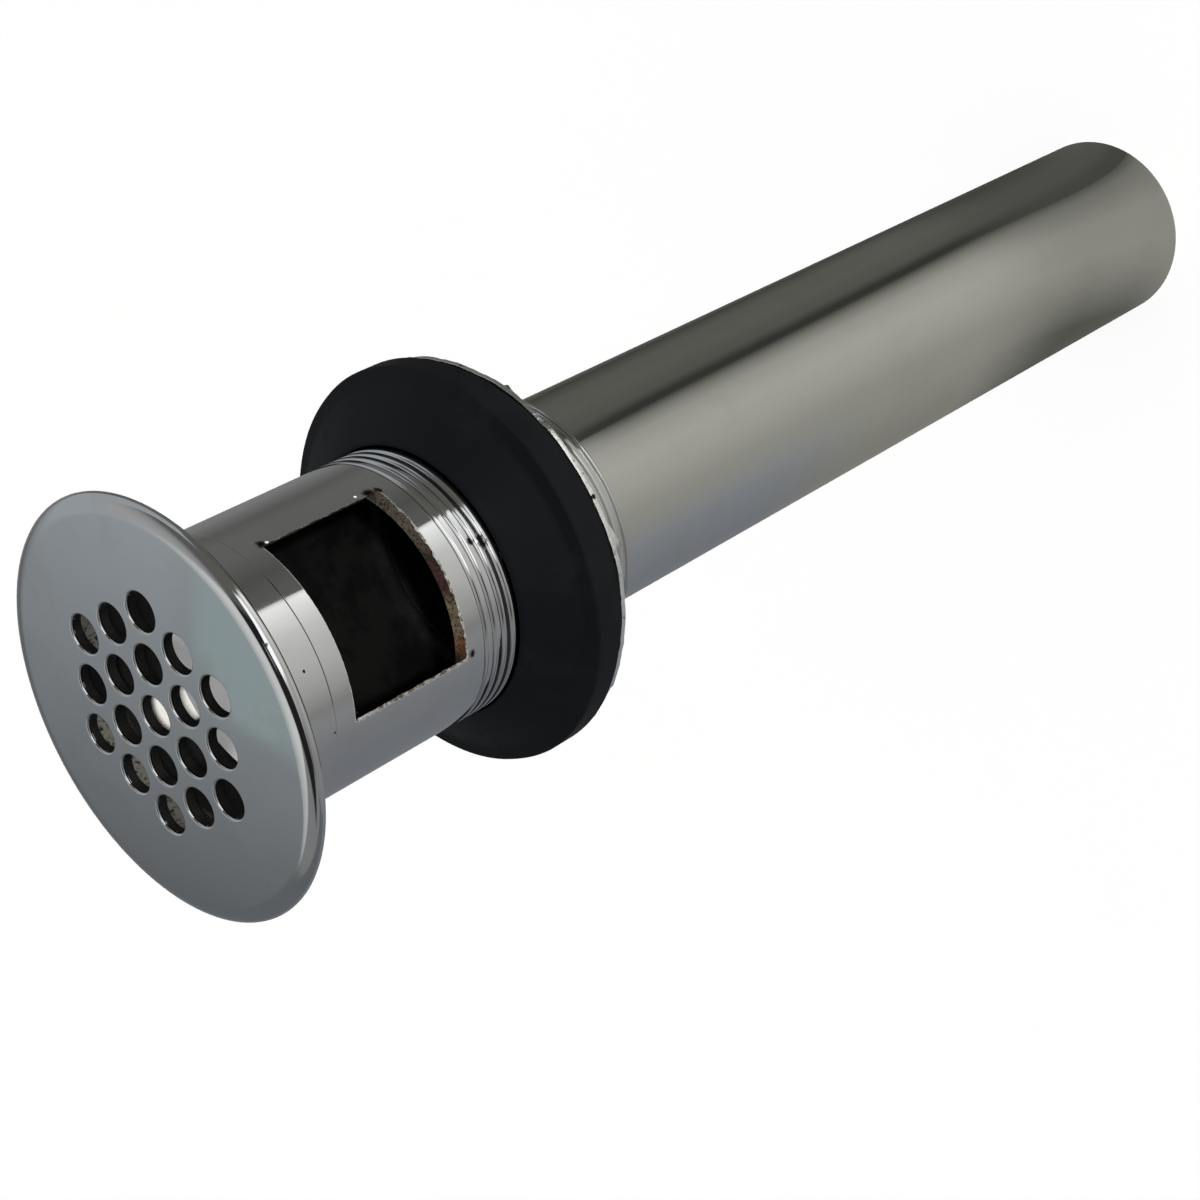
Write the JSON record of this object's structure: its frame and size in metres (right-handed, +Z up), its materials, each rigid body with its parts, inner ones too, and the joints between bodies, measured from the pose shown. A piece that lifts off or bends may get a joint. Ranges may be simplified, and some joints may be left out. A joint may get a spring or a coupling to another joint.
{
  "type": "grid drain",
  "caption": "Chrome basin drain: domed grid flange on a threaded barrel with overflow windows, coned rubber gasket, washer and locknut, and a long straight tailpiece.",
  "frame": {"origin": "centre of the flange's flat underside, the seat that lands on the basin", "axes": "+Z up along the drain's axis, out of the basin; the overflow windows face +X and -X; the tailpiece runs down -Z"},
  "size_m": [0.0572, 0.0572, 0.2169],
  "materials": {
    "chrome_body": "polished chrome plate on brass, with raw brass where the windows were cut",
    "black_rubber": "matt black moulded rubber",
    "bright_washer": "plated thin washer",
    "chrome_nut": "plated cast nut",
    "chrome_tube": "polished chrome plate on drawn brass tube"
  },
  "bodies": {
    "root": {"drain_body": "chrome_body", "gasket": "black_rubber", "friction_washer": "bright_washer", "locknut": "chrome_nut", "tailpiece": "chrome_tube"}
  },
  "joints": []
}
